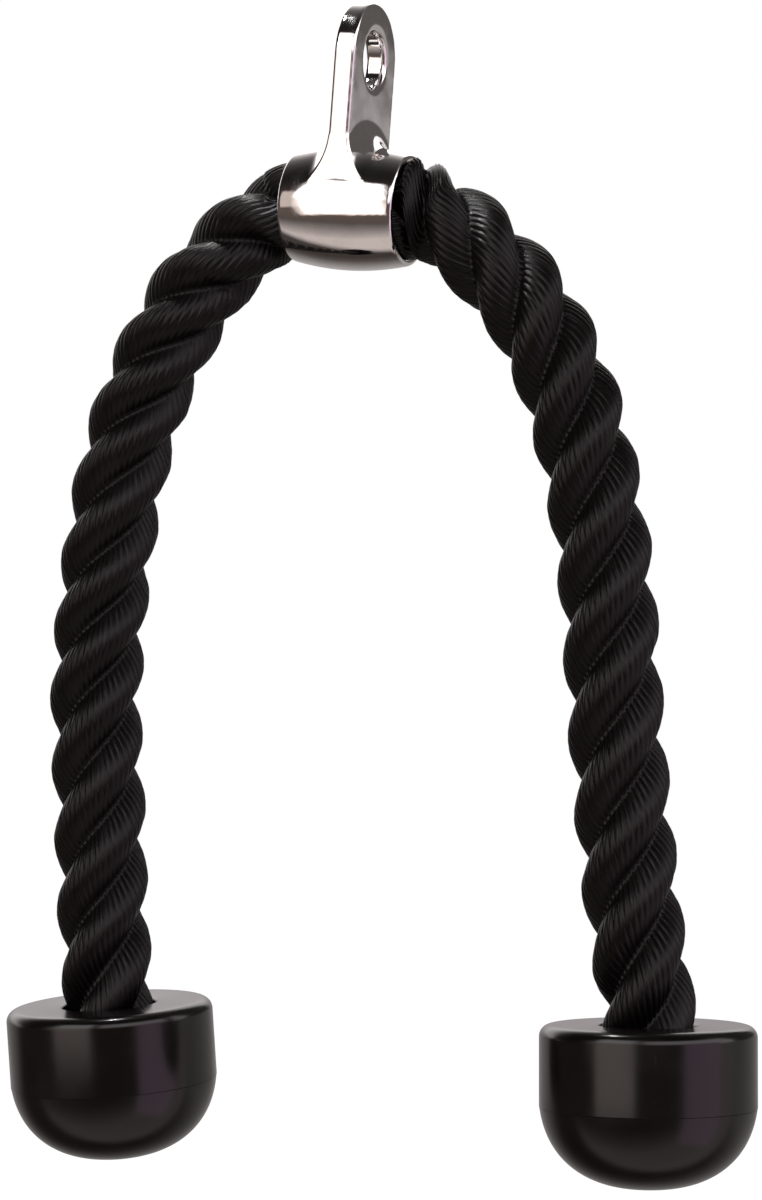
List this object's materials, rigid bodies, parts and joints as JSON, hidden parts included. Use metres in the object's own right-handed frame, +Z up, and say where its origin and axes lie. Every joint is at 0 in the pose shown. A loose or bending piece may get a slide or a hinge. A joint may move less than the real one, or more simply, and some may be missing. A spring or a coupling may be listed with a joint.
{
  "type": "triceps rope attachment",
  "caption": "Thick laid rope held at its middle in a chromed hanger with a clip eye, with a bell-shaped black stop on each end, for a cable machine.",
  "frame": {"origin": "centre of the hanger's eye, where a clip holds the part up", "axes": "+Z up, as the part hangs; +X to the right across the two legs; +Y to the back, square to the plane that the rope hangs in"},
  "size_m": [0.2442, 0.0674, 0.3617],
  "materials": {
    "hanger_chrome": "polished",
    "rope_fibre": "matte",
    "stop_rubber": "satin",
    "zinc_plate": "satin",
    "swaged_steel": "satin"
  },
  "bodies": {
    "hanger": {"hanger": "hanger_chrome", "rope_core": "rope_fibre"},
    "left_neck": {"left_rope_neck": "rope_fibre"},
    "left_leg": {"left_rope_leg": "rope_fibre", "left_rope_end": "rope_fibre", "left_stop_body": "stop_rubber", "left_stop_cap": "stop_rubber", "left_washer": "zinc_plate", "left_ferrule": "swaged_steel"},
    "right_neck": {"right_rope_neck": "rope_fibre"},
    "right_leg": {"right_rope_leg": "rope_fibre", "right_rope_end": "rope_fibre", "right_stop_body": "stop_rubber", "right_stop_cap": "stop_rubber", "right_washer": "zinc_plate", "right_ferrule": "swaged_steel"}
  },
  "joints": [
    {"name": "left_leg_swing", "type": "hinge", "parent": "hanger", "child": "left_neck", "pos_m": [-0.02255, 0, -0.04437], "axis": [0.9969, 0, -0.0785], "range_deg": [-75, 75]},
    {"name": "left_leg_bend", "type": "hinge", "parent": "left_neck", "child": "left_leg", "pos_m": [-0.0633, 0, -0.07875], "axis": [0, 1, 0], "range_deg": [-12, 75], "stiffness_Nm_per_rad": 1.2, "springref_deg": 2.23, "deforming": ["left_rope_neck"]},
    {"name": "right_leg_swing", "type": "hinge", "parent": "hanger", "child": "right_neck", "pos_m": [0.01533, 0, -0.04735], "axis": [0.9969, 0, -0.0785], "range_deg": [-75, 75]},
    {"name": "right_leg_bend", "type": "hinge", "parent": "right_neck", "child": "right_leg", "pos_m": [0.05653, 0, -0.08255], "axis": [0, -1, 0], "range_deg": [-12, 75], "stiffness_Nm_per_rad": 1.2, "springref_deg": 3.09, "deforming": ["right_rope_neck"]}
  ]
}
